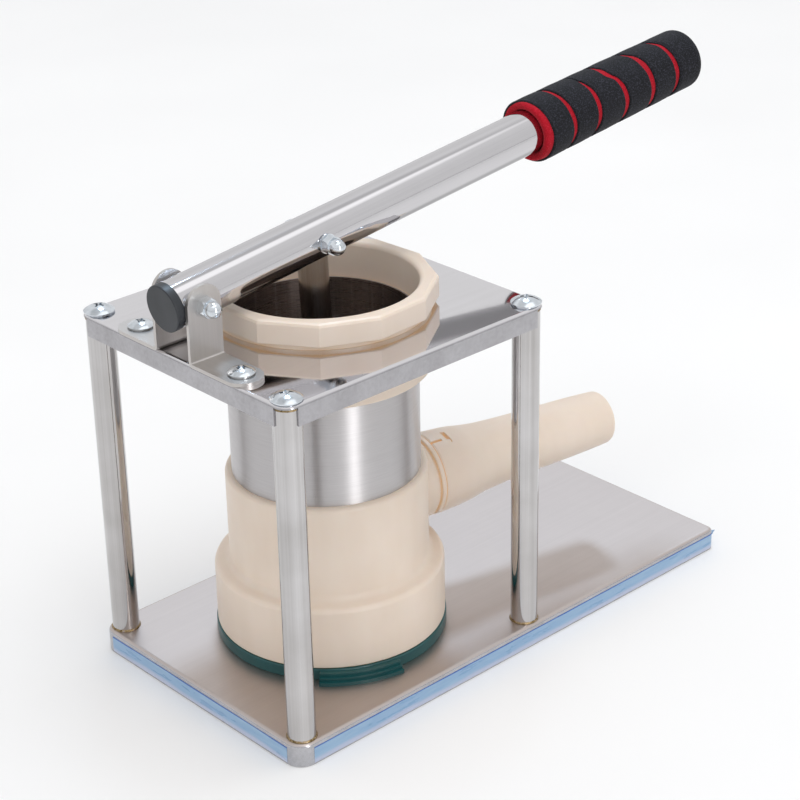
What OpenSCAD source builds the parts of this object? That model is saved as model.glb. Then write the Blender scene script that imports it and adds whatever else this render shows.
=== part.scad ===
// Vertical sausage stuffer: lever press on a folded steel frame.
// Millimetres. Z up, origin on the floor under the cylinder's axis,
// +X towards the nozzle, -Y towards the front.

/* [Base tray] */
// Left end of the tray (X)
base_x0 = -102.2; // [-104:0.1:-101]
// Right end of the tray (X)
base_x1 = 243.6; // [225:0.1:260]
// Half depth of the tray (Y)
base_hy = 89.4; // [88.5:0.1:92]
// Height of the tray
base_h = 14; // [13.6:0.1:14.4]
// Sheet thickness of the tray
base_t = 1.5; // [1.2:0.1:2]

/* [Posts] */
// X of the left pair of posts
post_x0 = -91.7; // [-92:0.1:-91]
// X of the right pair of posts
post_x1 = 80.5; // [80:0.1:82]
// Half spacing of the posts in Y
post_y = 79.4; // [79:0.1:80]
// Outer diameter of a post
post_d = 15.8; // [15:0.1:16]
// Wall of a post
post_wall = 1.5; // [1.2:0.1:2]

/* [Top plate] */
// Height of the plate's upper face
plate_z = 214.8; // [214.6:0.1:215]
// Height of the folded edge
plate_fl = 12; // [10:0.5:14]
// Sheet thickness of the plate
plate_t = 0.9; // [0.8:0.1:1.2]
// Edge of the plate beyond the posts' centres
plate_m = 8.8; // [8.8:0.1:9.2]
// Radius of the round opening
plate_hole_r = 59; // [58.5:0.1:59.5]

/* [Lever] */
// X of the lever's pivot
pivot_x = -91.0; // [-91.2:0.1:-90.8]
// Height of the lever's pivot
pivot_z = 246.2; // [246:0.1:246.4]
// Slope of the lever at rest, degrees
lever_el = 6.47; // [6:0.01:7]
// Outer diameter of the lever tube
lever_d = 26.4; // [26:0.1:26.6]
// Distance from the pivot to the plunger's bolt
pin_r = 86.5; // [86:0.1:87]
// Start of the grip along the lever
grip_s0 = 253; // [250:1:256]
// End of the grip along the lever
grip_s1 = 396; // [393:1:405]
// Outer radius of the grip
grip_r = 19.4; // [18.8:0.1:20]

/* [Plunger] */
// Length of the rod between its two pins
rod_l = 112; // [111:0.5:113]
// Diameter of the rod
rod_d = 17; // [16:0.5:17]
// Radius of the piston
piston_r = 52; // [51.5:0.1:52]
// Thickness of the piston
piston_t = 12; // [10:0.5:12]

/* [Cylinder] */
// Outer radius of the steel cylinder
cyl_r = 54; // [53.9:0.1:54]
// Inner radius of the steel cylinder
cyl_ri = 52.5; // [52.5:0.1:52.6]
// Lower end of the steel cylinder
cyl_z0 = 109.1; // [109.1:0.1:109.5]
// Upper end of the steel cylinder
cyl_z1 = 209.5; // [208.5:0.1:210]

/* [Ring nut] */
// Radius to the corners of the twelve-sided head
nut_r = 65.5; // [65:0.1:66.5]
// Lower face of the head
nut_z0 = 217.6; // [217.3:0.1:218]
// Upper face of the head
nut_z1 = 230.9; // [230:0.1:231]
// Inner radius of the ring nut
nut_ri = 54.8; // [54.6:0.1:55]

/* [Tee body] */
// Outer radius of the upper part
tee_r = 57.9; // [57.2:0.1:58]
// Outer radius of the lower socket
sock_r = 66.8; // [66:0.1:67]
// Upper end of the tee
tee_z1 = 117.4; // [116.5:0.1:118]
// Lower end of the tee
tee_z0 = 21.3; // [21.3:0.1:21.6]

/* [Nozzle] */
// Turn of the branch about the cylinder's axis, degrees
noz_az = -9.41; // [-12:0.1:-6]
// Height of the nozzle's axis
noz_z = 89.1; // [88:0.1:89.5]
// Distance of the nozzle's tip from the cylinder's axis
noz_s1 = 198.8; // [196:0.1:202]
// Radius of the nozzle's bore
noz_ri = 14; // [13:0.5:14]

/* [Green cap] */
// Outer radius of the cap's rim
cap_r = 67.5; // [67:0.1:68]
// Height of the cap's rim
cap_h = 7.0; // [6.8:0.1:7.1]

/* [Hidden] */
$fn = 64;

post_xy = [[post_x0, -post_y], [post_x0, post_y], [post_x1, -post_y], [post_x1, post_y]];
plate_x0 = post_x0 - plate_m;
plate_x1 = post_x1 + plate_m;
plate_y1 = post_y + plate_m;
post_top = plate_z - plate_t;
post_ri = post_d / 2 - post_wall;
ear_in = 13.5;      // inner face of an ear
ear_t = 2.0;        // thickness of an ear
ear_hw = 10.9;      // half width of an ear
foot_y = 44.4;      // centre of a foot's round end
scr_y = 42.7;       // bracket screw
scr_x = -90.6;
lever_wall = 1.5;
lever_ri = lever_d / 2 - lever_wall;
// plunger pin and the rod's tilt at rest
pin_x = pivot_x + pin_r * cos(lever_el);
pin_z = pivot_z + pin_r * sin(lever_el);
rod_tilt = asin(-pin_x / rod_l);
low_z = pin_z - rod_l * cos(rod_tilt);
disc_z1 = low_z - 16;
disc_z0 = disc_z1 - piston_t;

// ---------------------------------------------------------------- helpers
// one quarter corner: revolved profile whose upper outer edge has radius e
module q_profile(r, z0, z1, e) {
    union() {
        translate([0, z0]) square([r, z1 - z0 - e]);
        translate([0, z0]) square([r - e, z1 - z0]);
        intersection() {
            translate([r - e, z1 - e]) circle(e);
            translate([r - e, z1 - e]) square(e);
        }
    }
}
// slab with rounded vertical corners, c on the left and d on the right, and rounded upper edge e
module slab(x0, y0, x1, y1, z0, z1, c, d, e) {
    // middle strip, full depth
    translate([x0 + c, 0, 0]) rotate([90, 0, 90]) linear_extrude(x1 - x0 - c - d) {
        translate([(y0 + y1) / 2, 0]) union() {
            q_profile((y1 - y0) / 2, z0, z1, e);
            mirror([1, 0]) q_profile((y1 - y0) / 2, z0, z1, e);
        }
    }
    // two side strips
    translate([x0 + c, y0 + c, 0]) mirror([1, 0, 0]) rotate([90, 0, 0]) mirror([0, 0, 1])
        linear_extrude(y1 - y0 - 2 * c) q_profile(c, z0, z1, e);
    translate([x1 - d, y0 + d, 0]) rotate([90, 0, 0]) mirror([0, 0, 1])
        linear_extrude(y1 - y0 - 2 * d) q_profile(d, z0, z1, e);
    // four corners
    for (k = [[x0 + c, y0 + c, 180, c], [x1 - d, y0 + d, 270, d], [x1 - d, y1 - d, 0, d], [x0 + c, y1 - c, 90, c]])
        translate([k[0], k[1], 0]) rotate([0, 0, k[2]]) rotate_extrude(angle = 90)
            q_profile(k[3], z0, z1, e);
}
// revolved solid whose outer edges are rounded, et at the top and eb at the bottom
module turned(r, z0, z1, et, eb) {
    rotate_extrude() difference() {
        translate([0, z0]) square([r, z1 - z0]);
        if (et > 0) difference() {
            translate([r - et, z1 - et]) square(et + 1);
            translate([r - et, z1 - et]) circle(et);
        }
        if (eb > 0) difference() {
            translate([r - eb, z0 - 1]) square([eb + 1, eb + 1]);
            translate([r - eb, z0 + eb]) circle(eb);
        }
    }
}
// cutter that rounds the upper inner edge of a hole of radius r whose mouth is at z
module mouth(r, z, e) {
    rotate_extrude() difference() {
        translate([r - 1, z - e]) square([e + 1, e + 1]);
        translate([r + e, z - e]) circle(e);
    }
}
module ring(ro, ri, z0, z1) {
    translate([0, 0, z0]) difference() {
        cylinder(r = ro, h = z1 - z0);
        translate([0, 0, -1]) cylinder(r = ri, h = z1 - z0 + 2);
    }
}
module rod(r, z0, z1) { translate([0, 0, z0]) cylinder(r = r, h = z1 - z0); }
// domed screw head with a cross recess, underside at z = 0, set back under its rim
module dome_head(r, h, rim, slot) {
    R = (r * r + (h - rim) * (h - rim)) / (2 * (h - rim));
    difference() {
        union() {
            intersection() {
                translate([0, 0, h - R]) sphere(R);
                translate([0, 0, 0.8]) cylinder(r = r, h = h);
            }
            cylinder(r = r - 1.1, h = 1.2);
        }
        for (a = [0, 90]) rotate([0, 0, a])
            translate([-slot / 2, -0.6, h - 1.8]) cube([slot, 1.2, 3]);
        translate([0, 0, h - 2.6]) cylinder(r1 = 0.7, r2 = 1.8, h = 2.7);
    }
}
// domed nut along +Z, bearing face at z = 0
module domed_nut(af, hex_h, dome_r, tip, bore) {
    difference() {
        union() {
            intersection() {
                cylinder(r = af / 2 / cos(30), h = hex_h, $fn = 6);
                translate([0, 0, -1]) cylinder(r1 = af / 2 + 2.2, r2 = af / 2 + 0.25, h = hex_h + 1);
                translate([0, 0, 0]) cylinder(r1 = af / 2 + 0.45, r2 = af / 2 + 5, h = hex_h);
            }
            translate([0, 0, hex_h]) cylinder(r = dome_r, h = tip - hex_h - dome_r + 0.01);
            intersection() {
                translate([0, 0, tip - dome_r]) sphere(dome_r);
                translate([0, 0, tip - dome_r]) cylinder(r = dome_r + 1, h = dome_r + 1);
            }
        }
        translate([0, 0, -1]) cylinder(r = bore, h = tip - 1.6);
    }
}
module hex_head(af, h) {
    intersection() {
        cylinder(r = af / 2 / cos(30), h = h, $fn = 6);
        cylinder(r1 = af / 2 + 3, r2 = af / 2 + 0.2, h = h);
    }
}
// place a child made along +X in the lever's frame at rest
module on_lever() { translate([pivot_x, 0, pivot_z]) rotate([0, -lever_el, 0]) children(); }
module along_x(s0) { translate([s0, 0, 0]) rotate([0, 90, 0]) children(); }
// place a child made along the rod: origin at the upper pin, rod going down
module on_rod() { translate([pin_x, 0, pin_z]) rotate([0, -rod_tilt, 0]) children(); }
module on_nozzle() { translate([0, 0, noz_z]) rotate([0, 0, noz_az]) rotate([0, 90, 0]) children(); }

// ---------------------------------------------------------------- frame
module base_plate() {
    color("silver") difference() {
        slab(base_x0, -base_hy, base_x1, base_hy, 0, base_h, 10.5, 4.5, 2.5);
        slab(base_x0 + base_t, -base_hy + base_t, base_x1 - base_t, base_hy - base_t,
            -1, base_h - base_t, 10.5 - base_t, 4.5 - base_t, 2.5 - base_t);
        translate([0, 0, -1]) cylinder(r = 3.2, h = base_h + 2);
    }
}
module edge_film() {
    f = 0.15; z0 = 0.9; zt = 10.7; c = 10.5; d = 4.5;
    color([0.56, 0.70, 0.84]) union() {
        translate([base_x0 - f, -base_hy + c, z0]) cube([f, 2 * base_hy - 2 * c, zt - z0]);
        // long sides and the right end in one strip round the right corners
        for (s = [-1, 1]) {
            translate([base_x0 + c, s > 0 ? base_hy : -base_hy - f, z0]) cube([base_x1 - base_x0 - c - d, f, zt - z0]);
            translate([base_x1 - d, s * (base_hy - d), z0]) rotate([0, 0, s > 0 ? 0 : 270])
                rotate_extrude(angle = 90) translate([d, 0]) square([f, zt - z0]);
        }
        translate([base_x1, -base_hy + d, z0]) cube([f, 2 * base_hy - 2 * d, zt - z0]);
    }
}
module posts() {
    color("lightgray") for (p = post_xy) translate([p[0], p[1], 0])
        rotate_extrude() polygon([[post_ri, base_h], [post_d / 2, base_h], [post_d / 2, post_top - 1.3],
            [post_d / 2 - 1.3, post_top], [post_ri, post_top]]);
}
module post_inserts() {
    color("gray") for (p = post_xy) translate([p[0], p[1], 0])
        ring(post_ri, 3.0, post_top - 22, post_top);
}
module post_weld_beads() {
    // narrow beads at the foot and under the top plate
    color([0.72, 0.60, 0.42]) for (p = post_xy) translate([p[0], p[1], base_h]) rotate_extrude() {
        polygon([[post_d / 2, 0], [post_d / 2 + 0.75, 0], [post_d / 2 + 0.7, 0.35], [post_d / 2 + 0.45, 0.8], [post_d / 2, 1.1]]);
    }
    // the upper ones show only in the open corner of the folded edge
    color([0.72, 0.60, 0.42]) for (p = post_xy) intersection() {
        translate([p[0], p[1], post_top - 2.5]) rotate_extrude()
            polygon([[post_d / 2, 0], [post_d / 2 + 0.3, 0.3], [post_d / 2 + 0.35, 0.6], [post_d / 2 + 0.2, 1.0], [post_d / 2, 1.1]]);
        translate([p[0] + (p[0] < 0 ? -15.5 : 0.5), p[1] + (p[1] < 0 ? -15.5 : 0.5), post_top - 6]) cube([15, 15, 8]);
    }
}
module top_plate() {
    color("silver") difference() {
        slab(plate_x0, -plate_y1, plate_x1, plate_y1, plate_z - plate_fl, plate_z, plate_m, plate_m, 2.2);
        slab(plate_x0 + plate_t, -plate_y1 + plate_t, plate_x1 - plate_t, plate_y1 - plate_t,
            plate_z - plate_fl - 1, plate_z - plate_t, plate_m - plate_t, plate_m - plate_t, 2.2 - plate_t);
        translate([0, 0, plate_z - 5]) cylinder(r = plate_hole_r, h = 10);
        // corners of the folded edge cut away round the posts
        for (p = post_xy) translate([p[0] + (p[0] < 0 ? -15 : 0), p[1] + (p[1] < 0 ? -15 : 0), plate_z - plate_fl - 1])
            cube([15, 15, plate_fl + 1 - 1.6]);
        for (p = post_xy) translate([p[0], p[1], plate_z - 5]) cylinder(r = 3.2, h = 10);
        for (s = [-1, 1]) translate([scr_x, s * scr_y, plate_z - 5]) cylinder(r = 2.5, h = 10);
    }
}
module corner_screws() {
    color("gainsboro") for (i = [0:3]) translate([post_xy[i][0], post_xy[i][1], plate_z]) {
        rotate([0, 0, [62, 20, 35, 75][i]]) dome_head(8.7, 4.4, 1.3, 6.4);
        rod(2.95, -16, 0);
    }
}
// an ear with its foot on the +Y side
module bracket() {
    zb = plate_z + ear_t + 1;   // centre line of the bend
    color("darkgray") difference() {
        union() {
            translate([pivot_x - ear_hw, ear_in, zb]) cube([2 * ear_hw, ear_t, pivot_z + 1 - zb]);
            intersection() {
                translate([pivot_x, ear_in, pivot_z + 1]) rotate([-90, 0, 0]) cylinder(r = ear_hw, h = ear_t);
                translate([pivot_x - 20, ear_in - 1, pivot_z + 1]) cube([40, ear_t + 2, 30]);
            }
            // bend
            translate([pivot_x - ear_hw, ear_in + ear_t + 1, zb]) rotate([90, 0, 90]) linear_extrude(2 * ear_hw)
                intersection() {
                    difference() { circle(ear_t + 1); circle(1); }
                    translate([-10, -10]) square(10);
                }
            translate([pivot_x - ear_hw, ear_in + ear_t + 1, plate_z])
                cube([2 * ear_hw, foot_y - ear_in - ear_t - 1, ear_t]);
            intersection() {
                translate([pivot_x, foot_y, plate_z]) cylinder(r = ear_hw, h = ear_t);
                translate([pivot_x - 20, foot_y, plate_z - 1]) cube([40, 20, ear_t + 2]);
            }
        }
        translate([pivot_x, 0, pivot_z]) rotate([-90, 0, 0]) cylinder(r = 3.1, h = 40);
        translate([scr_x, scr_y, plate_z - 1]) cylinder(r = 2.5, h = 10);
    }
}
module bracket_front() { mirror([0, 1, 0]) bracket(); }
module bracket_rear() { bracket(); }
module bracket_screws() {
    color("gainsboro") for (s = [-1, 1]) translate([scr_x, s * scr_y, plate_z + ear_t]) {
        rotate([0, 0, s > 0 ? 30 : 5]) dome_head(7.3, 3.9, 1.3, 5.4);
        rod(2.4, -13, 0);
    }
}
module bracket_nuts() {
    color("gainsboro") for (s = [-1, 1]) translate([scr_x, s * scr_y, plate_z - plate_t])
        mirror([0, 0, 1]) difference() {
            union() { rod(5.5, 0, 0.8); translate([0, 0, 0.8]) hex_head(8, 4); }
            rod(2.45, -1, 6);
        }
}
module pivot_bolt() {
    color("gainsboro") translate([pivot_x, 0, pivot_z]) rotate([90, 0, 0]) {
        rod(2.97, -ear_in - ear_t, ear_in + ear_t + 9);
        translate([0, 0, -ear_in - ear_t]) mirror([0, 0, 1]) hex_head(10, 4);
    }
}
module pivot_nut() {
    color("gainsboro") translate([pivot_x, 0, pivot_z]) rotate([90, 0, 0]) rotate([0, 0, 12])
        translate([0, 0, ear_in + ear_t]) domed_nut(10, 5.2, 4.4, 12, 3.0);
}

// ---------------------------------------------------------------- cylinder
module cylinder_tube() { color("lightgray") ring(cyl_r, cyl_ri, cyl_z0, cyl_z1); }
module under_collar() {
    color([0.87, 0.81, 0.74]) difference() {
        turned(61.5, 179.5, post_top, 0, 1.6);
        rod(cyl_r + 0.02, 170, 230);
        rod(57.7, 191.5, 230);
    }
}
module collar_gasket() { color([0.25, 0.25, 0.26]) ring(57.2, cyl_r + 0.3, 191.5, 193.4); }
module base_cap() {
    color([0.10, 0.30, 0.31]) difference() {
        union() {
            turned(cap_r, base_h, base_h + cap_h, 0.8, 0.6);
            rod(59.9, base_h + cap_h, 40);
            // ribbed tab on the front
            intersection() {
                difference() {
                    union() {
                        rod(74.2, base_h, base_h + 2.2);
                        rod(72.4, base_h + 2.2, base_h + 4.2);
                        rod(70.6, base_h + 4.2, base_h + 6.2);
                    }
                    rod(60, base_h - 1, base_h + 10);
                }
                rotate([0, 0, -137]) translate([0, 0, base_h - 1]) rotate_extrude(angle = 39) square([90, 12]);
            }
        }
        rod(54, base_h + 5, 60);
        rod(3.2, 0, 60);
        // groove for the lower seal
        difference() { rod(65, 31, 34.4); rod(57.6, 30, 35); }
    }
}
module base_cap_screw() {
    color("gainsboro") union() {
        rod(3.05, base_h - base_t, base_h + 13);
        rod(9, base_h - base_t - 1.5, base_h - base_t);
        translate([0, 0, base_h - base_t - 1.5]) mirror([0, 0, 1]) hex_head(10, 4.2);
        difference() {
            translate([0, 0, base_h + 5]) hex_head(10, 5);
            rod(3.04, base_h + 4, base_h + 14);
        }
    }
}
module tee_lower_seal() {
    color([0.2, 0.2, 0.2]) translate([0, 0, 32.7]) rotate_extrude() translate([58.77, 0]) circle(1.15);
}

// ---------------------------------------------------------------- lever
module lever_tube() {
    color("silver") on_lever() difference() {
        along_x(-10.7) ring(lever_d / 2, lever_ri, 0, 396.7);
        // pivot and plunger bolts
        rotate([90, 0, 0]) rod(3.04, -30, 30);
        translate([pin_r, 0, 0]) rotate([90, 0, 0]) rod(2.99, -30, 30);
        // slot for the rod in the underside
        translate([pin_r - 12, 0, -30]) cylinder(r = 9.2, h = 30);
        translate([pin_r + 1, 0, -30]) cylinder(r = 9.2, h = 30);
        translate([pin_r - 12, -9.2, -30]) cube([13, 18.4, 30]);
    }
}
module lever_end_cap() {
    color([0.17, 0.18, 0.20]) on_lever() {
        along_x(-15.7) rotate_extrude() polygon([[0, 0], [12.5, 0], [12.9, 0.12], [13.13, 0.38], [13.2, 0.8], [13.2, 5], [11.65, 5],
            [11.65, 11.5], [9.5, 11.5], [9.5, 3], [0, 3]]);
    }
}
module grip_inner_foam() {
    color([0.80, 0.10, 0.18]) on_lever() along_x(grip_s0) difference() {
        union() {
            rod(17, 0, grip_s1 - 10 - grip_s0);
            rod(12, 0, grip_s1 - 3 - grip_s0);
        }
        rod(lever_d / 2 + 0.02, -1, 386.2 - grip_s0);
    }
}
module grip_outer_foam() {
    // black sleeves between the grooves, distances along the lever
    g = [259.5, 277.4, 298, 321, 343.5, 366.8];
    e = 10.5;
    color([0.14, 0.15, 0.16]) on_lever() {
        for (k = [0:4]) along_x(0) ring(grip_r, 17.02, k == 0 ? g[0] : g[k] + 1.4, g[k + 1] - 1.4);
        along_x(0) difference() {
            union() {
                rod(grip_r, g[5] + 1.4, grip_s1 - e);
                translate([0, 0, grip_s1 - e]) rotate_extrude() union() {
                    intersection() {
                        translate([grip_r - e, 0]) circle(e);
                        translate([grip_r - e, 0]) square(e);
                    }
                    square([grip_r - e, e]);
                }
            }
            rod(17.02, 0, grip_s1 - 9.98);
            rod(12.03, 0, grip_s1 - 2.98);
        }
    }
}
module plunger_bolt() {
    color("gainsboro") on_lever() translate([pin_r, 0, 0]) rotate([90, 0, 0]) {
        rod(2.97, -lever_d / 2 - 1.2, lever_d / 2 + 1.2 + 9);
        translate([0, 0, -lever_d / 2 - 1.2]) mirror([0, 0, 1]) hex_head(10, 4);
    }
}
module plunger_nut() {
    color("gainsboro") on_lever() translate([pin_r, 0, 0]) rotate([90, 0, 0]) rotate([0, 0, 20])
        translate([0, 0, lever_d / 2 + 1.2]) domed_nut(10, 5.2, 4.4, 12, 3.0);
}
module plunger_washers() {
    color("gainsboro") on_lever() translate([pin_r, 0, 0]) rotate([90, 0, 0]) for (m = [0, 1])
        mirror([0, 0, m]) ring(5.6, 3.05, lever_d / 2, lever_d / 2 + 1.2);
}
module plunger_spacers() {
    color("gray") on_lever() translate([pin_r, 0, 0]) rotate([90, 0, 0]) for (m = [0, 1])
        mirror([0, 0, m]) ring(4.6, 3.02, rod_d / 2 + 0.25, 10.6);
}

// ---------------------------------------------------------------- rod
module plunger_rod() {
    color("silver") on_rod() difference() {
        ring(rod_d / 2, rod_d / 2 - 2.5, -rod_l - 6.6, 6.5);
        rotate([90, 0, 0]) rod(3.05, -30, 30);
        translate([0, 0, -rod_l]) rotate([90, 0, 0]) rod(4.0, -30, 30);
    }
}
module rod_lower_pin() {
    color("gray") on_rod() translate([0, 0, -rod_l]) rotate([90, 0, 0]) {
        rod(3.99, -16.5, 16.5);
        rod(6.2, 16.5, 18.5);
        rod(6.2, -18.5, -16.5);
    }
}

// ---------------------------------------------------------------- piston
module piston_clevis() {
    wx = 3.7;   // play of the pin along X to each side
    wz = 1.5;   // play of the pin up and down
    color("silver") difference() {
        union() {
            rod(26, disc_z1, disc_z1 + 3);
            for (s = [-1, 1]) translate([0, s * 12.2, 0]) {
                translate([-14, -2.5, disc_z1 + 3]) cube([28, 5, low_z - disc_z1 - 3]);
                intersection() {
                    translate([0, 2.5, low_z]) rotate([90, 0, 0]) cylinder(r = 14, h = 5);
                    translate([-20, -5, low_z]) cube([40, 10, 20]);
                }
            }
        }
        translate([0, 0, low_z]) rotate([90, 0, 0]) {
            for (s = [-1, 1]) translate([s * wx, 0, 0]) rod(4 + wz, -30, 30);
            translate([-wx, -4 - wz, -30]) cube([2 * wx, 8 + 2 * wz, 60]);
        }
        rod(4.05, disc_z1 - 1, disc_z1 + 5);
    }
}
module piston_disc() {
    color([0.87, 0.82, 0.75]) difference() {
        rod(piston_r, disc_z0, disc_z1);
        difference() {
            rod(piston_r + 2, disc_z0 + 4, disc_z0 + 8.4);
            rod(piston_r - 3.6, disc_z0 + 3, disc_z0 + 9);
        }
        rod(4.05, disc_z0 - 1, disc_z1 + 1);
        translate([0, 0, disc_z0 - 0.01]) cylinder(r1 = 8.4, r2 = 4.05, h = 4.4);
    }
}
module piston_seal() {
    color([0.2, 0.2, 0.2]) translate([0, 0, disc_z0 + 6.2]) rotate_extrude() translate([50.45, 0]) circle(2.0);
}
module piston_screw() {
    color("gainsboro") difference() {
        union() {
            rod(3.98, disc_z0 + 1, disc_z1 + 6.1);
            translate([0, 0, disc_z0]) cylinder(r1 = 8.3, r2 = 3.98, h = 4.3);
            translate([0, 0, disc_z1 + 3]) hex_head(11, 3.1);
        }
        translate([0, 0, disc_z0 - 1]) cylinder(r = 2.5, h = 3.4, $fn = 6);
    }
}

// ---------------------------------------------------------------- ring nut
module ring_nut() {
    color([0.87, 0.81, 0.74]) difference() {
        union() {
            rotate([0, 0, 18.7]) hull() {
                translate([0, 0, nut_z0 + 0.5]) cylinder(r = nut_r, h = nut_z1 - nut_z0 - 2.4, $fn = 12);
                translate([0, 0, nut_z0]) cylinder(r = nut_r - 0.6, h = nut_z1 - nut_z0 - 0.6, $fn = 12);
                translate([0, 0, nut_z0]) cylinder(r = nut_r - 2.0, h = nut_z1 - nut_z0, $fn = 12);
            }
            rod(61.5, plate_z + 0.1, nut_z0 + 0.1);
            rod(57.6, 193.8, plate_z + 0.1);
        }
        rod(nut_ri, 180, 240);
        mouth(nut_ri, nut_z1, 2.6);
    }
}

// ---------------------------------------------------------------- tee
// points of an arc about c
function arc(c, r, a0, a1, n) = [for (i = [0:n]) let (a = a0 + (a1 - a0) * i / n) [c[0] + r * cos(a), c[1] + r * sin(a)]];
module tee_body() {
    sh = 59.2;    // height of the shoulder's rounded edge
    es = 3.4;     // its radius
    fr = 4.5;     // hollow radius above the shoulder
    sl = 12;      // slope of the shoulder, degrees
    // centre of the hollow, tangent to the upper part and to the shoulder
    k0 = [sock_r - es + es * sin(sl), sh - es + es * cos(sl)];
    hx = tee_r + fr;
    hz = k0[1] + (k0[0] - hx) * tan(sl) + fr / cos(sl);
    color([0.87, 0.81, 0.74]) rotate([0, 0, noz_az]) difference() {
        union() {
            turned(tee_r, 58, tee_z1, 2.7, 0);
            rotate_extrude() polygon(concat([[50, tee_z0], [sock_r - 0.8, tee_z0]],
                arc([sock_r - 0.8, tee_z0 + 0.8], 0.8, -60, 0, 2),
                arc([sock_r - es, sh - es], es, 0, 90 - sl, 7),
                arc([hx, hz], fr, 270 - sl, 180, 9), [[50, hz]]));
            // branch with its end lip and spigot
            translate([0, 0, noz_z]) rotate([0, 90, 0]) {
                turned(24.3, 30, 62, 0.6, 0);
                rod(22.3, 61, 65);
                turned(24.4, 64, 66.9, 0.7, 0.7);
                rod(21.2, 66, 86);
                // two bayonet pins
                for (a = [0, 180]) rotate([0, 0, a]) rotate([0, 0, 180 + 20.5]) translate([0, 0, 79.3])
                    rotate([0, 90, 0]) cylinder(r = 1.3, h = 23.3);
            }
        }
        rod(cyl_r + 0.08, 109, 130);
        rod(cyl_ri, 51, 120);
        rod(60, 10, 52);
        translate([0, 0, noz_z]) rotate([0, 90, 0]) rod(18, 20, 100);
        difference() { rod(56, 112, 114.6); rod(50, 111, 115); }
    }
}
module tee_upper_seal() {
    color([0.2, 0.2, 0.2]) translate([0, 0, 113.3]) rotate_extrude() translate([55.05, 0]) circle(0.92);
}

// ---------------------------------------------------------------- nozzle
// outer outline: distance from the cylinder's axis as a fraction, radius
noz_s0 = 67.4;
noz_pts = [[0, 23.9], [0.008, 24.4], [0.05, 24.4], [0.16, 23.3], [0.23, 21.7], [0.30, 20.5], [0.42, 19.5],
    [0.55, 18.8], [0.70, 18.3], [0.82, 17.8], [0.93, 17.1], [0.98, 16.7]];
function lerp_h(p, m0, m1, h, t) = // cubic between p[0] and p[1]
    (2 * t * t * t - 3 * t * t + 1) * p[0] + (t * t * t - 2 * t * t + t) * h * m0
    + (-2 * t * t * t + 3 * t * t) * p[1] + (t * t * t - t * t) * h * m1;
function slope(i) = i == 0 ? 0 : i == len(noz_pts) - 1
    ? (noz_pts[i][1] - noz_pts[i - 1][1]) / (noz_pts[i][0] - noz_pts[i - 1][0])
    : (noz_pts[i + 1][1] - noz_pts[i - 1][1]) / (noz_pts[i + 1][0] - noz_pts[i - 1][0]);
noz_len = noz_s1 - noz_s0;
noz_out = [for (i = [0:len(noz_pts) - 2]) let (a = noz_pts[i], b = noz_pts[i + 1]) for (k = [0:3]) let (t = k / 4)
    [lerp_h([a[1], b[1]], slope(i), slope(i + 1), b[0] - a[0], t), noz_s0 + noz_len * (a[0] + (b[0] - a[0]) * t)]];
tip_r = noz_pts[len(noz_pts) - 1][1];
tip_s = noz_s0 + noz_len * 0.98;
noz_tip = [for (a = [0:15:90]) [noz_ri + 0.5 + (tip_r - noz_ri - 0.5) * cos(a), tip_s + (noz_s1 - tip_s) * sin(a)]];
module nozzle() {
    color([0.87, 0.81, 0.74]) on_nozzle() difference() {
        rotate_extrude() polygon(concat([[21.5, noz_s0]], noz_out, noz_tip,
            [[noz_ri, noz_s1 - 0.3], [noz_ri, 99], [21.5, 87]]));
        // bayonet slots: axial entry and a short slot round the bell
        for (a = [0, 180]) rotate([0, 0, a]) {
            rotate([0, 0, 180 + 18]) translate([0, -1.6, noz_s0 - 1]) cube([23.6, 3.2, 13.4]);
            rotate([0, 0, 180 + 17]) translate([0, -0.9, noz_s0 - 1]) cube([26, 1.8, 8.6]);
            difference() {
                rotate([0, 0, 180 + 1]) translate([0, 0, 77.8]) rotate_extrude(angle = 24) translate([10, 0]) square([16, 3.0]);
                rod(20, 70, 90);
            }
        }
    }
}

base_plate();
edge_film();
posts();
post_inserts();
post_weld_beads();
top_plate();
corner_screws();
bracket_front();
bracket_rear();
bracket_screws();
bracket_nuts();
pivot_bolt();
pivot_nut();
cylinder_tube();
under_collar();
collar_gasket();
base_cap();
base_cap_screw();
tee_lower_seal();
lever_tube();
lever_end_cap();
grip_inner_foam();
grip_outer_foam();
plunger_bolt();
plunger_nut();
plunger_washers();
plunger_spacers();
plunger_rod();
rod_lower_pin();
piston_clevis();
piston_disc();
piston_seal();
piston_screw();
ring_nut();
tee_body();
tee_upper_seal();
nozzle();
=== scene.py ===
import math
import random

import bmesh
import bpy
from mathutils import Matrix, Vector, noise


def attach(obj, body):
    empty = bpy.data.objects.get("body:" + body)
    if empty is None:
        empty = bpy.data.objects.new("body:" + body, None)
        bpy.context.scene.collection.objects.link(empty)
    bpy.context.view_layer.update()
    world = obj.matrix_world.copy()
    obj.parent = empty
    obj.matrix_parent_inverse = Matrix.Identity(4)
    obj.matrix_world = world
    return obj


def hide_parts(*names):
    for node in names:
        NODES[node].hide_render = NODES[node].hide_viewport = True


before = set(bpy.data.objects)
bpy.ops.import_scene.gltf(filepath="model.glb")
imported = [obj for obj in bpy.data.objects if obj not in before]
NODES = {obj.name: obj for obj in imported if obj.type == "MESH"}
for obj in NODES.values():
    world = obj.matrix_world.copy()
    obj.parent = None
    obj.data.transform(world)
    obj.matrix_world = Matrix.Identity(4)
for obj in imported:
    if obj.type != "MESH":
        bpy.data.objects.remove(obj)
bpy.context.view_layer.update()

scene = bpy.context.scene
scene.view_settings.view_transform = "Standard"
scene.view_settings.look = "None"
scene.view_settings.exposure = 0.0

MM = 0.001

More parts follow.
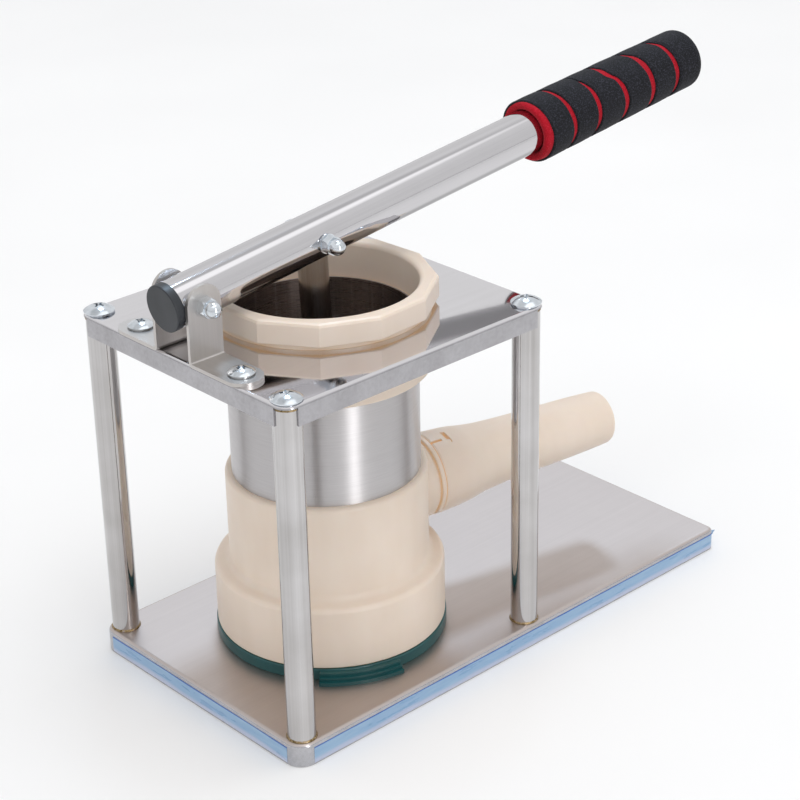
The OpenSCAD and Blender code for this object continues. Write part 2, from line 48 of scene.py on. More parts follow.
# ------------------------------------------------------------------ camera
AZ, EL, ROLL = math.radians(-42.496), math.radians(25.661), math.radians(-1.189)
cam = bpy.data.cameras.new("camera")
cam.lens = 96.38
cam.sensor_width = 36.0
cam.sensor_fit = "HORIZONTAL"
cam.clip_start = 0.05
cam.clip_end = 50.0
cam_ob = bpy.data.objects.new("camera", cam)
scene.collection.objects.link(cam_ob)
back = Vector((math.sin(AZ) * math.cos(EL), -math.cos(AZ) * math.cos(EL), math.sin(EL)))
right0 = Vector((math.cos(AZ), math.sin(AZ), 0.0))
up0 = back.cross(right0)
cx = math.cos(ROLL) * right0 + math.sin(ROLL) * up0
cy = -math.sin(ROLL) * right0 + math.cos(ROLL) * up0
rot = Matrix((cx, cy, back)).transposed().to_4x4()
cam_ob.matrix_world = Matrix.Translation((-0.7017, -0.8291, 0.6769)) @ rot
scene.camera = cam_ob


# ------------------------------------------------------------------ node helper
def lin(r, g, b):
    def f(c):
        c /= 255.0
        return c / 12.92 if c <= 0.04045 else ((c + 0.055) / 1.055) ** 2.4
    return (f(r), f(g), f(b), 1.0)


class Mat:
    """A procedural material around one Principled shader."""

    def __init__(self, name):
        self.m = bpy.data.materials.new(name)
        self.m.use_nodes = True
        self.t = self.m.node_tree
        self.t.nodes.clear()
        self.out = self.t.nodes.new("ShaderNodeOutputMaterial")
        self.p = self.t.nodes.new("ShaderNodeBsdfPrincipled")
        self.t.links.new(self.p.outputs[0], self.out.inputs["Surface"])
        self.tc = self.t.nodes.new("ShaderNodeTexCoord")
        self.obj = self.tc.outputs["Object"]

    def link(self, a, b):
        self.t.links.new(a, b)

    def set(self, **kw):
        names = {"base": "Base Color", "metal": "Metallic", "rough": "Roughness", "normal": "Normal",
                 "coat": "Coat Weight", "coat_rough": "Coat Roughness", "spec": "Specular IOR Level",
                 "aniso": "Anisotropic", "aniso_rot": "Anisotropic Rotation", "tangent": "Tangent",
                 "sheen": "Sheen Weight", "sheen_rough": "Sheen Roughness", "sss": "Subsurface Weight",
                 "sss_scale": "Subsurface Scale", "sss_radius": "Subsurface Radius", "ior": "IOR",
                 "trans": "Transmission Weight", "alpha": "Alpha", "tint": "Specular Tint"}
        for k, v in kw.items():
            s = self.p.inputs[names[k]]
            if isinstance(v, bpy.types.NodeSocket):
                self.link(v, s)
            else:
                s.default_value = v
        return self

    def map(self, vec, scale=(1, 1, 1), rot=(0, 0, 0), loc=(0, 0, 0)):
        if any(rot) and any(s != 1 for s in scale):
            vec = self.map(vec, (1, 1, 1), rot)
            rot = (0, 0, 0)
        n = self.t.nodes.new("ShaderNodeMapping")
        n.vector_type = "POINT"
        n.inputs["Location"].default_value = loc
        n.inputs["Rotation"].default_value = rot
        n.inputs["Scale"].default_value = scale
        self.link(vec, n.inputs["Vector"])
        return n.outputs[0]

    def noise(self, vec, scale=1.0, detail=3.0, rough=0.55, dist=0.0):
        n = self.t.nodes.new("ShaderNodeTexNoise")
        n.inputs["Scale"].default_value = scale
        n.inputs["Detail"].default_value = detail
        n.inputs["Roughness"].default_value = rough
        n.inputs["Distortion"].default_value = dist
        self.link(vec, n.inputs["Vector"])
        return n.outputs[0]

    def voronoi(self, vec, scale=1.0, feature="F1", out="Distance"):
        n = self.t.nodes.new("ShaderNodeTexVoronoi")
        n.feature = feature
        n.inputs["Scale"].default_value = scale
        self.link(vec, n.inputs["Vector"])
        return n.outputs[out]

    def ramp(self, fac, stops, interp="LINEAR"):
        n = self.t.nodes.new("ShaderNodeValToRGB")
        n.color_ramp.interpolation = interp
        e = n.color_ramp.elements
        while len(e) < len(stops):
            e.new(0.5)
        for k, (pos, c) in enumerate(stops):
            e[k].position = pos
            e[k].color = c if hasattr(c, "__len__") else (c, c, c, 1.0)
        self.link(fac, n.inputs["Fac"])
        return n.outputs["Color"]

    def range(self, v, a, b, c, d, smooth=False):
        n = self.t.nodes.new("ShaderNodeMapRange")
        n.interpolation_type = "SMOOTHSTEP" if smooth else "LINEAR"
        n.clamp = True
        for i, x in zip(("From Min", "From Max", "To Min", "To Max"), (a, b, c, d)):
            n.inputs[i].default_value = x
        self.link(v, n.inputs["Value"])
        return n.outputs[0]

    def math(self, op, a, b=None):
        n = self.t.nodes.new("ShaderNodeMath")
        n.operation = op
        for k, x in enumerate((a, b)):
            if x is None:
                continue
            if isinstance(x, bpy.types.NodeSocket):
                self.link(x, n.inputs[k])
            else:
                n.inputs[k].default_value = x
        return n.outputs[0]

    def xyz(self, vec):
        n = self.t.nodes.new("ShaderNodeSeparateXYZ")
        self.link(vec, n.inputs[0])
        return n.outputs[0], n.outputs[1], n.outputs[2]

    def mix(self, fac, a, b, blend="MIX"):
        n = self.t.nodes.new("ShaderNodeMix")
        n.data_type = "RGBA"
        n.blend_type = blend
        for s, x in ((n.inputs[0], fac), (n.inputs[6], a), (n.inputs[7], b)):
            if isinstance(x, bpy.types.NodeSocket):
                self.link(x, s)
            else:
                s.default_value = x
        return n.outputs[2]

    def bump(self, height, strength=0.2, distance=0.001, normal=None):
        n = self.t.nodes.new("ShaderNodeBump")
        n.inputs["Strength"].default_value = strength
        n.inputs["Distance"].default_value = distance
        self.link(height, n.inputs["Height"])
        if normal is not None:
            self.link(normal, n.inputs["Normal"])
        return n.outputs[0]

    def radial(self, axis="Z"):
        n = self.t.nodes.new("ShaderNodeTangent")
        n.direction_type = "RADIAL"
        n.axis = axis
        return n.outputs[0]


def add(k, *terms):
    """Weighted sum of sockets."""
    out = None
    for s, w in terms:
        t = k.math("MULTIPLY", s, w)
        out = t if out is None else k.math("ADD", out, t)
    return out


def steel(name, dark, light, rough=(0.06, 0.10), streak=(6, 500, 500), rot=(0, 0, 0), bump=0.02, wave=0.0,
          blot=20.0, scratch=0.0, flange=None, under=None):
    """Stainless steel: hair-fine streaks along one direction, slow tone changes, a few scratches.
    flange = (roughness, tone factors) of upright folds, which are mottled and rougher; their tone factors paint them
    darker than the flat faces (painted shade).
    under = (height of the axis, start, end, factor): the tube's underside is painted darker (painted shade) and
    slightly rougher."""
    k = Mat(name)
    v = k.map(k.obj, rot=rot) if any(rot) else k.obj
    fine = k.noise(k.map(v, scale=streak), 1.0, 5.0, 0.7)
    broad = k.noise(k.map(v, scale=tuple(s * 0.16 for s in streak)), 1.0, 2.0, 0.5)
    slow = k.noise(v, blot, 3.0, 0.5)
    tone = add(k, (fine, 0.40), (broad, 0.25), (slow, 0.35))
    base = k.ramp(tone, [(0.32, dark), (0.68, light)])
    r = k.range(tone, 0.3, 0.7, rough[1], rough[0])
    # painted shade: the tube below its axis is darkened by the given factor
    if under:
        low = k.range(k.xyz(v)[2], under[0] - under[1], under[0] - under[2], 0.0, 1.0, True)
        base = k.mix(low, base, k.ramp(tone, [(0.32, tuple(c * under[3] for c in dark[:3]) + (1,)),
                                              (0.68, tuple(c * under[3] * 1.1 for c in light[:3]) + (1,))]))
        r = k.math("ADD", r, k.math("MULTIPLY", low, 0.05))
    if scratch:
        s1 = k.noise(k.map(v, scale=(1900, 40, 40), rot=(0.0, 0.0, 0.5)), 1.0, 2.0, 0.5)
        s2 = k.noise(k.map(v, scale=(40, 2100, 40), rot=(0.0, 0.0, -0.4)), 1.0, 2.0, 0.5)
        hit = k.math("MAXIMUM", k.range(s1, 0.72, 0.78, 0, 1), k.range(s2, 0.72, 0.78, 0, 1))
        r = k.math("ADD", r, k.math("MULTIPLY", hit, scratch))
    nrm = k.bump(fine, bump, 0.0003)
    if wave:
        nrm = k.bump(k.noise(v, 30.0, 1.0, 0.4), wave, 0.002, nrm)
    # painted shade: upright faces get a darker, separately tinted tone chosen by their facing direction
    if flange:
        geo = k.t.nodes.new("ShaderNodeNewGeometry")
        nz = k.math("ABSOLUTE", k.xyz(geo.outputs["Normal"])[2])
        up = k.range(nz, 0.35, 0.80, 1.0, 0.0, True)
        spots = k.noise(k.obj, 420.0, 4.0, 0.65)
        cloud = k.noise(k.obj, 60.0, 3.0, 0.55)
        m = add(k, (spots, 0.5), (cloud, 0.5))
        painted_upright_shade = k.ramp(m, [(0.34, tuple(c * f * 0.88 for c, f in zip(dark, flange[1])) + (1,)),
                          (0.64, tuple(c * f * 1.05 for c, f in zip(light, flange[1])) + (1,))])
        base = k.mix(up, base, painted_upright_shade)
        r = k.math("ADD", k.math("MULTIPLY", up, k.range(m, 0.3, 0.7, flange[0] + 0.06, flange[0] - 0.02)),
                   k.math("MULTIPLY", k.math("SUBTRACT", 1.0, up), r))
    k.set(base=base, metal=1.0, rough=r, normal=nrm)
    return k


def assign(node, mat):
    o = NODES[node]
    for s in o.material_slots:
        s.material = mat.m if isinstance(mat, Mat) else mat


# ------------------------------------------------------------------ materials
m_plate = steel("mirror_steel", (0.690, 0.675, 0.690, 1), (0.745, 0.735, 0.755, 1), (0.040, 0.075), (7, 420, 420),
                bump=0.008, wave=0.008, scratch=0.05, flange=(0.20, (0.60, 0.60, 0.61)))
m_base = steel("base_steel", (0.505, 0.448, 0.422, 1), (0.550, 0.492, 0.468, 1), (0.36, 0.40), (10, 900, 900),
               bump=0.006, wave=0.004, blot=40.0, scratch=0.03, flange=(0.20, (0.93, 1.04, 1.15)))
m_post = steel("post_steel", (0.40, 0.385, 0.375, 1), (0.64, 0.63, 0.635, 1), (0.05, 0.10), (700, 700, 3),
               bump=0.04, wave=0.02, blot=30.0)
LEV = (0.0, math.radians(6.47), 0.0)
m_lever = steel("lever_steel", (0.57, 0.56, 0.575, 1), (0.66, 0.65, 0.665, 1), (0.040, 0.075), (4, 520, 520), rot=LEV,
                bump=0.012, wave=0.006, under=(0.25488, 0.0046, 0.0082, 0.42))
m_rod = steel("rod_steel", (0.33, 0.30, 0.27, 1), (0.56, 0.53, 0.50, 1), (0.12, 0.20), (620, 620, 8), bump=0.05)
m_plain = steel("plain_steel", (0.42, 0.41, 0.40, 1), (0.58, 0.57, 0.56, 1), (0.22, 0.34), (300, 300, 300), bump=0.08)
m_bracket = steel("bracket_steel", (0.49, 0.465, 0.445, 1), (0.61, 0.585, 0.565, 1), (0.30, 0.40), (420, 30, 12),
                  bump=0.04, wave=0.02, scratch=0.08)


def barrel():
    """Brushed round and round: fine level lines, sharp upright reflections; inside painted dark brown (painted shade
    in the bore) and less rough.
    """
    k = Mat("barrel_steel")
    x, y, z = k.xyz(k.obj)
    rr = k.math("SQRT", k.math("ADD", k.math("MULTIPLY", x, x), k.math("MULTIPLY", y, y)))
    # painted shade: the bore's inner wall is coloured dark brown by radius
    inside = k.range(rr, 0.0526, 0.0538, 1.0, 0.0)
    lines = k.noise(k.map(k.obj, scale=(9, 9, 3400)), 1.0, 4.0, 0.7)
    dash = k.noise(k.map(k.obj, scale=(90, 90, 2400)), 1.0, 2.0, 0.6)
    tone = add(k, (lines, 0.6), (dash, 0.4))
    outer = k.ramp(tone, [(0.32, (0.535, 0.52, 0.525, 1)), (0.68, (0.61, 0.595, 0.60, 1))])
    drag = k.noise(k.map(k.obj, scale=(520, 520, 7)), 1.0, 4.0, 0.7)
    bore_shade_tone = k.ramp(drag, [(0.3, (0.22, 0.175, 0.16, 1)), (0.6, (0.27, 0.22, 0.20, 1)), (0.75, (0.36, 0.315, 0.30, 1))])
    r = k.range(tone, 0.3, 0.7, 0.43, 0.37)
    r = k.math("SUBTRACT", r, k.math("MULTIPLY", inside, 0.12))
    k.set(base=k.mix(inside, outer, bore_shade_tone), metal=1.0, rough=r,
          normal=k.bump(lines, 0.02, 0.0002), aniso=0.93, aniso_rot=0.25, tangent=k.radial("Z"))
    return k


def zinc():
    k = Mat("zinc")
    n = k.noise(k.obj, 1100.0, 3.0, 0.6)
    s = k.noise(k.obj, 160.0, 2.0, 0.5)
    k.set(base=k.ramp(s, [(0.3, (0.57, 0.61, 0.65, 1)), (0.7, (0.78, 0.82, 0.86, 1))]), metal=1.0,
          rough=k.range(n, 0.3, 0.7, 0.08, 0.20), normal=k.bump(n, 0.05, 0.0003))
    return k


def plastic(name, dark, light, rough=(0.34, 0.44), grain=1800.0, bump=0.03, sss=0.0, crease_glow=None):
    k = Mat(name)
    big = k.noise(k.obj, 22.0, 3.0, 0.5)
    mid = k.noise(k.map(k.obj, scale=(70, 70, 16)), 1.0, 2.0, 0.5)
    fine = k.noise(k.obj, grain, 2.0, 0.5)
    tone = add(k, (big, 0.6), (mid, 0.4))
    base = k.ramp(tone, [(0.32, dark), (0.68, light)])
    if crease_glow:
        # painted glow: an occlusion mask tints seams and slots ochre and makes them emit, standing in for light
        # seeping through the plastic
        ao = k.t.nodes.new("ShaderNodeAmbientOcclusion")
        ao.samples = 6
        ao.inputs["Distance"].default_value = 0.0045
        glow_mask = k.range(ao.outputs["AO"], 0.05, 0.55, 1.0, 0.0, True)
        base = k.mix(glow_mask, base, crease_glow)
        k.link(k.math("MULTIPLY", glow_mask, 0.42), k.p.inputs["Emission Strength"])
        k.p.inputs["Emission Color"].default_value = crease_glow
    k.set(base=base, rough=k.range(tone, 0.3, 0.7, rough[1], rough[0]),
          normal=k.bump(fine, bump, 0.0003, k.bump(mid, 0.03, 0.001)))
    if sss:
        k.set(sss=sss, sss_scale=0.004, sss_radius=(1.0, 0.6, 0.35))
    return k


m_barrel = barrel()
m_zinc = zinc()
m_cream = plastic("cream_plastic", lin(230, 213, 196), lin(237, 222, 207), (0.36, 0.47), 1500.0, 0.04, sss=0.15,
                  crease_glow=lin(204, 171, 128))
m_green = plastic("green_plastic", lin(16, 70, 72), lin(26, 86, 88), (0.26, 0.36), 1500.0, 0.04)
m_black = plastic("black_plastic", lin(30, 34, 39), lin(44, 48, 54), (0.38, 0.50), 1300.0, 0.10)
m_rubber = plastic("seal_rubber", lin(40, 40, 41), lin(56, 56, 57), (0.50, 0.65), 900.0, 0.08)


def film():
    """Pale blue protective film: paler lavender towards its foot, a deep blue painted shadow line along the top edge.
    """
    k = Mat("blue_film")
    x, y, z = k.xyz(k.obj)
    n = k.noise(k.map(k.obj, scale=(40, 40, 240)), 1.0, 3.0, 0.6)
    w = k.noise(k.map(k.obj, scale=(24, 24, 4)), 1.0, 2.0, 0.5)
    body = k.ramp(n, [(0.3, lin(132, 167, 203)), (0.7, lin(153, 184, 211))])
    foot = k.range(k.math("ADD", z, k.math("MULTIPLY", w, 0.003)), 0.0035, 0.0062, 1.0, 0.0, True)
    body = k.mix(foot, body, lin(186, 194, 216))
    # painted shadow: a deep blue line along the film's top edge
    edge = k.range(k.math("ADD", z, k.math("MULTIPLY", w, 0.0012)), 0.0105, 0.0111, 0.0, 1.0, True)
    body = k.mix(edge, body, lin(52, 98, 178))
    k.set(base=body, rough=k.range(n, 0.3, 0.7, 0.24, 0.38), normal=k.bump(n, 0.10, 0.0006), coat=0.15, coat_rough=0.2)
    return k


m_film = film()


def weld():
    k = Mat("weld_tint")
    n = k.noise(k.obj, 700.0, 3.0, 0.6)
    k.set(base=k.ramp(n, [(0.3, (0.12, 0.08, 0.04, 1)), (0.55, (0.34, 0.25, 0.13, 1)), (0.75, (0.40, 0.36, 0.38, 1))]),
          metal=1.0, rough=k.range(n, 0.3, 0.7, 0.22, 0.42), normal=k.bump(n, 0.3, 0.0006))
    return k


m_weld = weld()


def foam(name, dark, light, speck):
    """Closed-cell foam: tiny open cells, faint woven speckle, matt with a soft bloom."""
    k = Mat(name)
    cell = k.voronoi(k.obj, 1300.0)
    tiny = k.noise(k.obj, 1150.0, 3.0, 0.7)
    cloud = k.noise(k.obj, 70.0, 3.0, 0.6)
    col = k.ramp(cloud, [(0.3, dark), (0.7, light)])
    col = k.mix(k.range(tiny, 0.50, 0.66, 0.0, 0.85), col, speck)
    hgt = add(k, (cell, 0.7), (tiny, 0.3))
    k.set(base=col, rough=k.range(tiny, 0.3, 0.7, 0.78, 0.92), normal=k.bump(hgt, 0.45, 0.0004), sheen=0.04,
          sheen_rough=0.5, spec=0.2)
    return k


m_foam_black = foam("black_foam", lin(15, 16, 20), lin(24, 25, 30), lin(62, 62, 73))
m_foam_red = foam("red_foam", lin(152, 4, 22), lin(178, 8, 32), lin(198, 36, 58))

table = {
    "base_plate": m_base, "edge_film": m_film, "posts": m_post, "post_inserts": m_plain, "post_weld_beads": m_weld,
    "top_plate": m_plate, "corner_screws": m_zinc, "bracket_front": m_bracket, "bracket_rear": m_bracket,
    "bracket_screws": m_zinc, "bracket_nuts": m_zinc, "pivot_bolt": m_zinc, "pivot_nut": m_zinc,
    "cylinder_tube": m_barrel, "under_collar": m_cream, "collar_gasket": m_rubber, "base_cap": m_green,
    "base_cap_screw": m_zinc, "tee_lower_seal": m_rubber, "lever_tube": m_lever, "lever_end_cap": m_black,
    "grip_inner_foam": m_foam_red, "grip_outer_foam": m_foam_black, "plunger_bolt": m_zinc, "plunger_nut": m_zinc,
    "plunger_washers": m_zinc, "plunger_spacers": m_plain, "plunger_rod": m_rod, "rod_lower_pin": m_plain,
    "piston_clevis": m_plain, "piston_disc": m_cream, "piston_seal": m_rubber, "piston_screw": m_zinc,
    "ring_nut": m_cream, "tee_body": m_cream, "tee_upper_seal": m_rubber, "nozzle": m_cream,
}
for node, mat in table.items():
    assign(node, mat)

# ------------------------------------------------------------------ foam grip
LEV_P = Vector((-0.091, 0.0, 0.2462))
LEV_A = Vector((math.cos(math.radians(6.47)), 0.0, math.sin(math.radians(6.47))))
LEV_U = Vector((-LEV_A.z, 0.0, LEV_A.x))
LEV_F = Vector((0.0, -1.0, 0.0))


def on_lever(s, r, th):
    """Point at s along the lever, r from its centre line, th degrees from its top towards -Y (mm)."""
    t = math.radians(th)
    return LEV_P + (LEV_A * s + (LEV_U * math.cos(t) + LEV_F * math.sin(t)) * r) * MM


def around(table, th):
    """Smooth periodic interpolation of (angle, value...) rows."""
    n = len(table)
    th = th % 360.0
    rows = [(a % 360.0,) + tuple(v) for a, *v in table]
    rows.sort()
    for i in range(n):
        p1, p2 = rows[i], rows[(i + 1) % n]
        a1, a2 = p1[0], p2[0] + (360.0 if i == n - 1 else 0.0)
        t_in = th if th >= a1 else th + 360.0
        if a1 <= t_in <= a2:
            p0, p3 = rows[i - 1], rows[(i + 2) % n]
            f = (t_in - a1) / (a2 - a1)
            out = []
            for k in range(1, len(p1)):
                m1, m2 = (p2[k] - p0[k]) * 0.35, (p3[k] - p1[k]) * 0.35
                h = (2 * f ** 3 - 3 * f * f + 1) * p1[k] + (f ** 3 - 2 * f * f + f) * m1
                h += (-2 * f ** 3 + 3 * f * f) * p2[k] + (f ** 3 - f * f) * m2
                out.append(h)
            return out
    return list(rows[0][1:])


# centre and width of the five grooves round the grip (angle, s, width)
GROOVE_TRIM = 0.7
GROOVES = [
    [(-90, 273.6, 2.6), (-37, 274.0, 2.6), (0, 274.4, 2.8), (30, 275.7, 3.4), (60, 276.8, 4.0), (95, 277.5, 4.0),
     (125, 276.8, 3.4), (180, 276.0, 3.0), (230, 274.6, 2.8)],
    [(-90, 296.6, 2.4), (-37, 296.2, 0.7), (5, 296.4, 0.9), (22, 297.4, 2.2), (45, 298.9, 3.6), (75, 299.3, 4.2),
     (100, 298.9, 4.2), (125, 297.8, 3.4), (180, 297.2, 3.0), (230, 296.9, 2.8)],
    [(-90, 315.2, 3.0), (-37, 314.4, 2.6), (0, 315.8, 3.0), (15, 316.4, 4.6), (30, 317.2, 4.9), (45, 320.8, 4.0),
     (62, 322.3, 4.2), (90, 323.1, 4.6), (118, 322.6, 4.2), (145, 321.8, 3.2), (190, 319.2, 3.0), (230, 316.8, 3.0)],
    [(-90, 340.2, 3.0), (-37, 339.4, 2.6), (0, 341.6, 2.8), (18, 344.1, 4.2), (40, 345.6, 5.2), (62, 346.5, 4.6),
     (90, 347.0, 4.6), (120, 346.8, 4.0), (145, 347.4, 3.2), (190, 344.6, 3.0), (230, 341.6, 3.0)],
    [(-90, 363.9, 2.8), (-37, 363.2, 2.2), (0, 365.2, 2.8), (20, 367.6, 3.2), (50, 368.8, 3.8), (85, 369.4, 4.2),
     (115, 368.8, 3.8), (145, 368.0, 3.0), (190, 366.2, 2.8), (230, 364.6, 2.8)],
]
# where the black layer begins (angle, s)
BLACK_START = [(-90, 254.4), (-30, 254.6), (5, 256.3), (30, 257.4), (60, 258.2), (90, 258.9), (125, 258.5), (180, 257.0),
               (230, 255.0)]


def skin_r(s, th):
    """Outer radius of the black layer: it narrows towards its end and sags a little to one side."""
    return 19.45 - 0.95 * min(max((s - 255.0) / 136.0, 0.0), 1.0) - 0.40 * math.cos(math.radians(th + 37.0))


def wobble(s, th, amp, seed):
    p = Vector((math.cos(math.radians(th)) * 1.3, math.sin(math.radians(th)) * 1.3, s * 0.055 + seed * 7.3))
    return amp * noise.noise(p) + amp * 0.5 * noise.noise(p * 2.7)


def ring_mesh(bm, profile, steps):
    """Closed ring: profile(th) gives the same number of (s, r) points at every angle."""
    rings = []
    for j in range(steps):
        th = 360.0 * j / steps
        rings.append([bm.verts.new(on_lever(s, r, th)) for s, r in profile(th)])
    m = len(rings[0])
    for j in range(steps):
        a, b = rings[j], rings[(j + 1) % steps]
        for i in range(m):
            bm.faces.new((a[i], a[(i + 1) % m], b[(i + 1) % m], b[i]))


def cap_mesh(bm, profile, steps, s_a, s_b):
    """Closed form of revolution from the axis at s_a round to the axis at s_b."""
    rings = []
    for j in range(steps):
        th = 360.0 * j / steps
        rings.append([bm.verts.new(on_lever(s, r, th)) for s, r in profile(th)])
    first, last = bm.verts.new(on_lever(s_a, 0, 0)), bm.verts.new(on_lever(s_b, 0, 0))
    m = len(rings[0])
    for j in range(steps):
        a, b = rings[j], rings[(j + 1) % steps]
        bm.faces.new((first, a[0], b[0]))
        for i in range(m - 1):
            bm.faces.new((a[i], a[i + 1], b[i + 1], b[i]))
        bm.faces.new((last, b[m - 1], a[m - 1]))


def sleeve_profile(lo, hi, k):
    """Cross-section of one black sleeve: flat inside, soft rounded shoulders outside."""
    def f(th):
        sa, sb = lo(th), hi(th)
        sa += wobble(sa, th, 0.22, 11 + k)
        sb += wobble(sb, th, 0.22, 31 + k)
        ri, e = 17.3, 1.05
        pts = [(sb - 0.15, ri), (sa + 0.15, ri), (sa, ri + 0.5)]
        ra, rb = skin_r(sa, th), skin_r(sb, th)
        for t in (0.0, 0.25, 0.5, 0.75, 1.0):
            q = math.radians(90.0 * t)
            pts.append((sa + e * (1 - math.sin(q)), ra - e * (1 - math.cos(q))))
        pts = pts[:3] + pts[3:][::-1]
        n = 16
        for i in range(1, n):
            t = i / n
            s = sa + e + (sb - sa - 2 * e) * t
            belly = 0.16 * math.sin(math.pi * t)
            pts.append((s, skin_r(s, th) + belly - 0.10 + wobble(s, th, 0.10, k)))
        for t in (0.0, 0.25, 0.5, 0.75, 1.0):
            q = math.radians(90.0 * t)
            pts.append((sb - e * (1 - math.sin(q)), rb - e * (1 - math.cos(q))))
        pts.append((sb, ri + 0.5))
        return pts
    return f


def edge(g, side):
    return lambda th: (lambda v: v[0] + side * 0.5 * max(v[1] - GROOVE_TRIM, 0.25))(around(GROOVES[g], th))


def finish_piece(bm, name, mat, smooth=1, keep=True):
    bmesh.ops.recalc_face_normals(bm, faces=bm.faces)
    me = bpy.data.meshes.new(name)
    bm.to_mesh(me)
    bm.free()
    for p in me.polygons:
        p.use_smooth = True
    o = bpy.data.objects.new(name, me)
    scene.collection.objects.link(o)
    me.materials.append(mat.m)
    if smooth:
        s = o.modifiers.new("smooth", "SUBSURF")
        s.levels = smooth
        s.render_levels = smooth
    return o


STEPS = 120
fb = bmesh.new()
for k in range(5):
    lo = (lambda th: around(BLACK_START, th)[0]) if k == 0 else edge(k - 1, 1)
    ring_mesh(fb, sleeve_profile(lo, edge(k, -1), k), STEPS)


def end_profile(th):
    """The last sleeve runs over the end of the tube and closes in a blunt dome."""
    sa = edge(4, 1)(th)
    sa += wobble(sa, th, 0.22, 16)
    e, ra = 1.05, skin_r(sa, th)
    pts = [(388.7, 8.0), (388.7, 16.6), (388.2, 17.3), (sa + 0.15, 17.3), (sa, 17.7)]
    for t in (1.0, 0.75, 0.5, 0.25, 0.0):
        q = math.radians(90.0 * t)
        pts.append((sa + e * (1 - math.sin(q)), ra - e * (1 - math.cos(q))))
    pts = pts[:5] + pts[5:][::-1]
    top = 388.9
    for i in range(1, 15):
        s = sa + e + (top - sa - e) * i / 14.0
        pts.append((s, skin_r(s, th) + wobble(s, th, 0.10, 9)))
    rc, rs = 6.2, skin_r(top, th)
    for t in (0.2, 0.4, 0.6, 0.8, 1.0):
        q = math.radians(90.0 * t)
        pts.append((top + 5.6 * math.sin(q), rs - rc * (1 - math.cos(q))))
    pts += [(395.45, 9.0), (395.55, 4.5)]
    return pts


cap_mesh(fb, end_profile, STEPS, 388.7, 395.6)
grip_black = finish_piece(fb, "grip_black_foam", m_foam_black)
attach(grip_black, "lever")
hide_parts("grip_outer_foam")


def red_profile(th):
    """Red layer: bore, hollowed start face with a soft rim, smooth core, flat end beyond the tube."""
    w = wobble(252.0, th, 0.25, 5)
    pts = [(386.6, 6.0), (386.6, 13.2), (320.0, 13.35), (258.0, 13.35), (255.5 + w, 13.42), (255.0 + w, 13.8),
           (254.5 + w, 14.6), (254.2 + w, 15.6), (254.1 + w, 16.7), (254.4 + w, 17.5), (255.2 + w, 18.05),
           (256.6 + w, 18.30)]
    s = 258.4
    while s < 387.5:
        r = 18.30 - 0.80 * (s - 255.0) / 136.0 - 0.25 * math.cos(math.radians(th + 37.0))
        pts.append((s, r + wobble(s, th, 0.12, 3)))
        s += 2.6
    pts += [(388.3, 17.0), (388.55, 15.0), (388.55, 8.0)]
    return pts


fb = bmesh.new()
cap_mesh(fb, red_profile, STEPS, 386.6, 388.55)
grip_red = finish_piece(fb, "grip_red_foam", m_foam_red)
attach(grip_red, "lever")
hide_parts("grip_inner_foam")

# ------------------------------------------------------------------ loose corner of the film
tb = bmesh.new()
rows_u, rows_v = 8, 6
grid = {}
for side in (0, 1):
    for i in range(rows_u + 1):
        for j in range(rows_v + 1):
            a, b = i / rows_u, j / rows_v
            curl = a * a
            x = 0.24385 - 0.0006 * b + 0.0004 * curl
            y = -0.0872 + 0.0040 * b
            z = 0.0078 + 0.0026 * a - 0.0012 * a * b
            off = 0.00035 + 0.0022 * curl * (0.5 + 0.5 * math.cos(2.2 * b)) + side * 0.00008
            grid[side, i, j] = tb.verts.new((x + off, y - 0.0003 * math.sin(3 * b), z))
for i in range(rows_u):
    for j in range(rows_v):
        tb.faces.new((grid[1, i, j], grid[1, i, j + 1], grid[1, i + 1, j + 1], grid[1, i + 1, j]))
        tb.faces.new((grid[0, i, j], grid[0, i + 1, j], grid[0, i + 1, j + 1], grid[0, i, j + 1]))
for i in range(rows_u):
    for j in (0, rows_v):
        tb.faces.new((grid[0, i, j], grid[0, i + 1, j], grid[1, i + 1, j], grid[1, i, j]))
for j in range(rows_v):
    for i in (0, rows_u):
        tb.faces.new((grid[0, i, j], grid[0, i, j + 1], grid[1, i, j + 1], grid[1, i, j]))
film_tab = finish_piece(tb, "film_corner", m_film)
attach(film_tab, "frame")

# ------------------------------------------------------------------ floor
fm = bpy.data.meshes.new("floor")
fb = bmesh.new()
bmesh.ops.create_grid(fb, x_segments=8, y_segments=8, size=12.0)
for v in fb.verts:
    v.co.z = -0.0002
fb.to_mesh(fm)
fb.free()
floor = bpy.data.objects.new("floor", fm)
scene.collection.objects.link(floor)
fl = Mat("floor_white")
fl.set(base=fl.ramp(fl.noise(fl.obj, 3.0, 2.0), [(0.3, (0.91, 0.91, 0.91, 1)), (0.7, (0.94, 0.94, 0.94, 1))]),
       rough=0.6, spec=0.3)
fm.materials.append(fl.m)

# ------------------------------------------------------------------ light
world = bpy.data.worlds.new("studio")
scene.world = world
world.use_nodes = True
wt = world.node_tree
wt.nodes.clear()
wo = wt.nodes.new("ShaderNodeOutputWorld")
bg = wt.nodes.new("ShaderNodeBackground")
wt.links.new(bg.outputs[0], wo.inputs[0])
wc = wt.nodes.new("ShaderNodeTexCoord")
sep = wt.nodes.new("ShaderNodeSeparateXYZ")
wt.links.new(wc.outputs["Generated"], sep.inputs[0])
mr = wt.nodes.new("ShaderNodeMapRange")
mr.inputs["From Min"].default_value = -1.0
mr.inputs["From Max"].default_value = 1.0
wt.links.new(sep.outputs[2], mr.inputs["Value"])
el = wt.nodes.new("ShaderNodeValToRGB")
wt.links.new(mr.outputs[0], el.inputs["Fac"])


def height(deg):
    return 0.5 + 0.5 * math.sin(math.radians(deg))


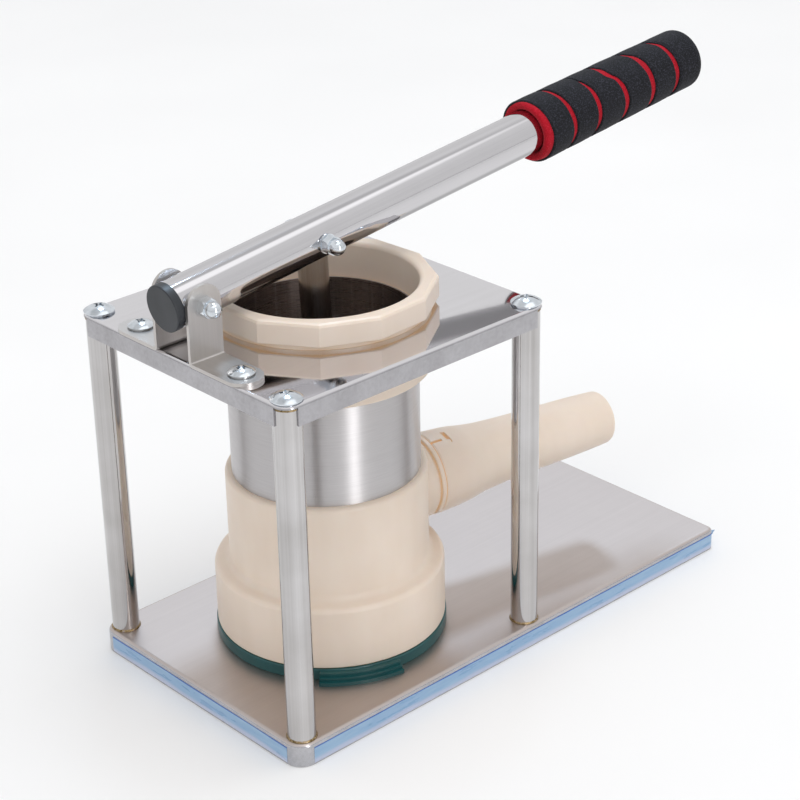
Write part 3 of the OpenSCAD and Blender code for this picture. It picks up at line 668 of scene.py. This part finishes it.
# the tent: a soft dark seam at the horizon, dimmer overhead at the back and bright overhead in front
stops = [(height(-4.5), 1.0), (height(-3.0), 0.45), (height(1.0), 0.45), (height(3.0), 0.82), (height(30.0), 0.84),
         (height(53.0), 0.90), (height(58.0), 0.68), (1.0, 0.68)]
e = el.color_ramp.elements
while len(e) < len(stops):
    e.new(0.5)
for k, (pos, c) in enumerate(stops):
    e[k].position = pos
    e[k].color = (c, c, c * 1.005, 1.0)
seam = wt.nodes.new("ShaderNodeValToRGB")
wt.links.new(mr.outputs[0], seam.inputs["Fac"])
stops = [(height(54.0), 1.0), (height(59.0), 2.15), (1.0, 2.15)]
e = seam.color_ramp.elements
while len(e) < len(stops):
    e.new(0.5)
for k, (pos, c) in enumerate(stops):
    e[k].position = pos
    e[k].color = (c, c, c, 1.0)
side = wt.nodes.new("ShaderNodeMapRange")
for i, x in zip(("From Min", "From Max", "To Min", "To Max"), (-0.05, 0.07, 1.0, 0.0)):
    side.inputs[i].default_value = x
wt.links.new(sep.outputs[1], side.inputs["Value"])
wm = wt.nodes.new("ShaderNodeMix")
wm.data_type = "RGBA"
wm.blend_type = "MULTIPLY"
wt.links.new(side.outputs[0], wm.inputs[0])
wt.links.new(el.outputs[0], wm.inputs[6])
wt.links.new(seam.outputs[0], wm.inputs[7])
wt.links.new(wm.outputs[2], bg.inputs["Color"])
bg.inputs["Strength"].default_value = 1.0


def area(name, loc, target, size, radiance, color=(1, 1, 1), spread=180.0):
    d = bpy.data.lights.new(name, "AREA")
    d.shape = "RECTANGLE"
    d.size, d.size_y = size
    d.energy = radiance * math.pi * size[0] * size[1]
    d.color = color
    d.spread = math.radians(spread)
    o = bpy.data.objects.new(name, d)
    scene.collection.objects.link(o)
    o.location = loc
    o.rotation_euler = (Vector(target) - Vector(loc)).to_track_quat("-Z", "Y").to_euler()
    o.visible_camera = False
    return o


area("softbox_top", (0.2, -0.3, 1.9), (0.05, 0, 0.1), (1.6, 1.6), 0.92).visible_glossy = False
strip = area("strip_front", (-0.134, -0.84, 0.42), (-0.02, -0.05, 0.20), (0.15, 0.80), 5.5)
strip.visible_diffuse = False
sun = bpy.data.lights.new("back_sun", "SUN")
sun.energy = 1.45
sun.color = (0.66, 0.86, 1.08)
sun.angle = math.radians(9.0)
sun_ob = bpy.data.objects.new("back_sun", sun)
scene.collection.objects.link(sun_ob)
sun_ob.visible_diffuse = False
sa, se = math.radians(44.0), math.radians(63.0)
sun_ob.rotation_euler = Vector((-math.cos(sa) * math.cos(se), -math.sin(sa) * math.cos(se), -math.sin(se))).to_track_quat("-Z", "Y").to_euler()
